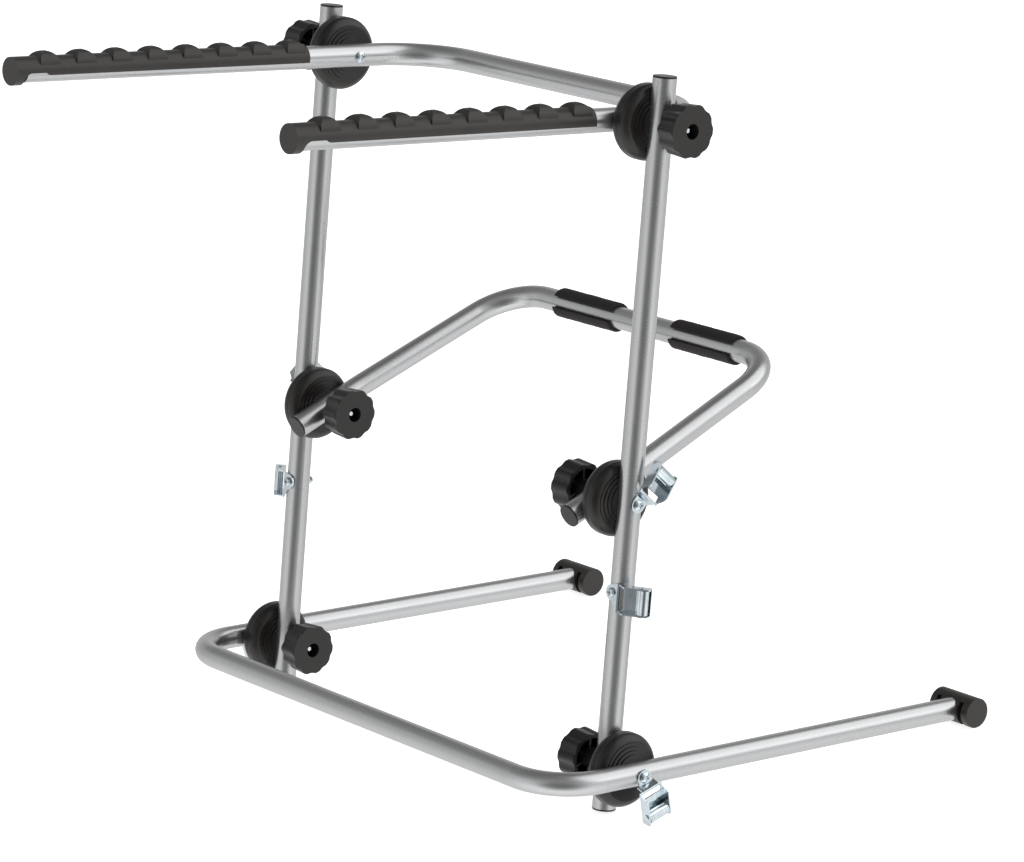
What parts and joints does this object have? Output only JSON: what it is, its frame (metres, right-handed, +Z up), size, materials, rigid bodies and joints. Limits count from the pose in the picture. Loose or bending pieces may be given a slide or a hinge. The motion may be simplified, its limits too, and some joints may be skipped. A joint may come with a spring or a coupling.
{
  "type": "tailgate bike rack",
  "caption": "Folding tailgate bike rack in silver tube with black clamp joints, star knobs, crested bike cradles, foam pads, rubber feet and cam buckles.",
  "frame": {"origin": "middle of the rack's footprint, on the ground it stands on", "axes": "+X across the rack to its right-hand side, +Y towards the vehicle, +Z up"},
  "size_m": [0.704, 0.8374, 0.7698],
  "materials": {
    "tube": "satin",
    "plastic": "matte",
    "rubber": "matte",
    "foam": "matte",
    "zinc": "satin"
  },
  "bodies": {
    "uprights": {"upright_left": "tube", "upright_right": "tube", "upright_cap_top_left": "plastic", "upright_cap_top_right": "plastic", "upright_cap_bottom_left": "plastic", "upright_cap_bottom_right": "plastic", "carrier_clamp_post_left": "plastic", "carrier_clamp_post_right": "plastic", "support_clamp_post_left": "plastic", "support_clamp_post_right": "plastic", "bumper_clamp_post_left": "plastic", "bumper_clamp_post_right": "plastic", "side_buckle_left": "zinc", "side_buckle_right": "zinc", "side_buckle_screws": "zinc", "side_buckle_nuts": "zinc"},
    "carrier_frame": {"carrier_frame": "tube", "bike_cradle_left": "rubber", "bike_cradle_right": "rubber", "carrier_clamp_arm_left": "plastic", "carrier_clamp_arm_right": "plastic", "carrier_joint_bolts": "zinc"},
    "support_frame": {"support_frame": "tube", "foam_pad_left": "foam", "foam_pad_right": "foam", "support_cap_left": "plastic", "support_cap_right": "plastic", "support_clamp_arm_left": "plastic", "support_clamp_arm_right": "plastic", "support_joint_bolts": "zinc"},
    "bumper_frame": {"bumper_frame": "tube", "foot_left": "rubber", "foot_right": "rubber", "bumper_clamp_arm_left": "plastic", "bumper_clamp_arm_right": "plastic", "bumper_joint_bolts": "zinc"},
    "carrier_knob_left": {"carrier_knob_left": "plastic", "carrier_knob_nut_left": "zinc"},
    "carrier_knob_right": {"carrier_knob_right": "plastic", "carrier_knob_nut_right": "zinc"},
    "support_knob_left": {"support_knob_left": "plastic", "support_knob_nut_left": "zinc"},
    "support_knob_right": {"support_knob_right": "plastic", "support_knob_nut_right": "zinc"},
    "bumper_knob_left": {"bumper_knob_left": "plastic", "bumper_knob_nut_left": "zinc"},
    "bumper_knob_right": {"bumper_knob_right": "plastic", "bumper_knob_nut_right": "zinc"},
    "support_buckle_left": {"support_buckle_left": "zinc"},
    "support_buckle_lever_left": {"support_buckle_lever_left": "zinc"},
    "support_buckle_right": {"support_buckle_right": "zinc"},
    "support_buckle_lever_right": {"support_buckle_lever_right": "zinc"},
    "bumper_buckle_left": {"bumper_buckle_left": "zinc"},
    "bumper_buckle_lever_left": {"bumper_buckle_lever_left": "zinc"},
    "bumper_buckle_right": {"bumper_buckle_right": "zinc"},
    "bumper_buckle_lever_right": {"bumper_buckle_lever_right": "zinc"},
    "side_buckle_lever_left": {"side_buckle_lever_left": "zinc"},
    "side_buckle_lever_right": {"side_buckle_lever_right": "zinc"}
  },
  "joints": [
    {"name": "carrier_fold", "type": "hinge", "parent": "uprights", "child": "carrier_frame", "pos_m": [0, 0.02409, 0.70957], "axis": [1, 0, 0], "range_deg": [-80, 76]},
    {"name": "support_fold", "type": "hinge", "parent": "uprights", "child": "support_frame", "pos_m": [0, -0.02399, 0.32356], "axis": [1, 0, 0], "range_deg": [-45, 50]},
    {"name": "bumper_fold", "type": "hinge", "parent": "uprights", "child": "bumper_frame", "pos_m": [0, -0.0581, 0.04967], "axis": [-1, 0, 0], "range_deg": [-78, 60]},
    {"name": "carrier_knob_turn_left", "type": "hinge", "parent": "carrier_frame", "child": "carrier_knob_left", "pos_m": [-0.31, 0.02409, 0.70957], "axis": [1, 0, 0], "continuous": true},
    {"name": "carrier_knob_turn_right", "type": "hinge", "parent": "carrier_frame", "child": "carrier_knob_right", "pos_m": [0.31, 0.02409, 0.70957], "axis": [1, 0, 0], "continuous": true},
    {"name": "support_knob_turn_left", "type": "hinge", "parent": "support_frame", "child": "support_knob_left", "pos_m": [-0.2005, -0.02399, 0.32356], "axis": [1, 0, 0], "continuous": true},
    {"name": "support_knob_turn_right", "type": "hinge", "parent": "support_frame", "child": "support_knob_right", "pos_m": [0.2005, -0.02399, 0.32356], "axis": [1, 0, 0], "continuous": true},
    {"name": "bumper_knob_turn_left", "type": "hinge", "parent": "bumper_frame", "child": "bumper_knob_left", "pos_m": [-0.245, -0.0581, 0.04967], "axis": [1, 0, 0], "continuous": true},
    {"name": "bumper_knob_turn_right", "type": "hinge", "parent": "bumper_frame", "child": "bumper_knob_right", "pos_m": [0.245, -0.0581, 0.04967], "axis": [1, 0, 0], "continuous": true},
    {"name": "support_buckle_swivel_left", "type": "hinge", "parent": "support_frame", "child": "support_buckle_left", "pos_m": [-0.291, -0.02399, 0.32356], "axis": [1, 0, 0], "range_deg": [-90, 90]},
    {"name": "support_buckle_cam_left", "type": "hinge", "parent": "support_buckle_left", "child": "support_buckle_lever_left", "pos_m": [-0.30013, 0.00264, 0.35019], "axis": [0, -0.7071, 0.7071], "range_deg": [0, 60], "stiffness_Nm_per_rad": 0.04, "springref_deg": -20.05},
    {"name": "support_buckle_swivel_right", "type": "hinge", "parent": "support_frame", "child": "support_buckle_right", "pos_m": [0.291, -0.02399, 0.32356], "axis": [1, 0, 0], "range_deg": [-90, 90]},
    {"name": "support_buckle_cam_right", "type": "hinge", "parent": "support_buckle_right", "child": "support_buckle_lever_right", "pos_m": [0.30013, 0.00264, 0.35019], "axis": [0, 0.7071, -0.7071], "range_deg": [0, 60], "stiffness_Nm_per_rad": 0.04, "springref_deg": -20.05},
    {"name": "bumper_buckle_swivel_left", "type": "hinge", "parent": "bumper_frame", "child": "bumper_buckle_left", "pos_m": [-0.3355, -0.0581, 0.04967], "axis": [1, 0, 0], "range_deg": [-90, 90]},
    {"name": "bumper_buckle_cam_left", "type": "hinge", "parent": "bumper_buckle_left", "child": "bumper_buckle_lever_left", "pos_m": [-0.34463, -0.04899, 0.01313], "axis": [0, 0.9703, 0.2419], "range_deg": [0, 60], "stiffness_Nm_per_rad": 0.04, "springref_deg": -20.05},
    {"name": "bumper_buckle_swivel_right", "type": "hinge", "parent": "bumper_frame", "child": "bumper_buckle_right", "pos_m": [0.3355, -0.0581, 0.04967], "axis": [1, 0, 0], "range_deg": [-90, 90]},
    {"name": "bumper_buckle_cam_right", "type": "hinge", "parent": "bumper_buckle_right", "child": "bumper_buckle_lever_right", "pos_m": [0.34463, -0.04899, 0.01313], "axis": [0, -0.9703, -0.2419], "range_deg": [0, 60], "stiffness_Nm_per_rad": 0.04, "springref_deg": -20.05},
    {"name": "side_buckle_cam_left", "type": "hinge", "parent": "uprights", "child": "side_buckle_lever_left", "pos_m": [-0.31026, -0.03822, 0.22708], "axis": [0, 0.1236, 0.9923], "range_deg": [0, 60], "stiffness_Nm_per_rad": 0.04, "springref_deg": -20.05},
    {"name": "side_buckle_cam_right", "type": "hinge", "parent": "uprights", "child": "side_buckle_lever_right", "pos_m": [0.31026, -0.03822, 0.22708], "axis": [0, -0.1236, -0.9923], "range_deg": [0, 60], "stiffness_Nm_per_rad": 0.04, "springref_deg": -20.05}
  ]
}
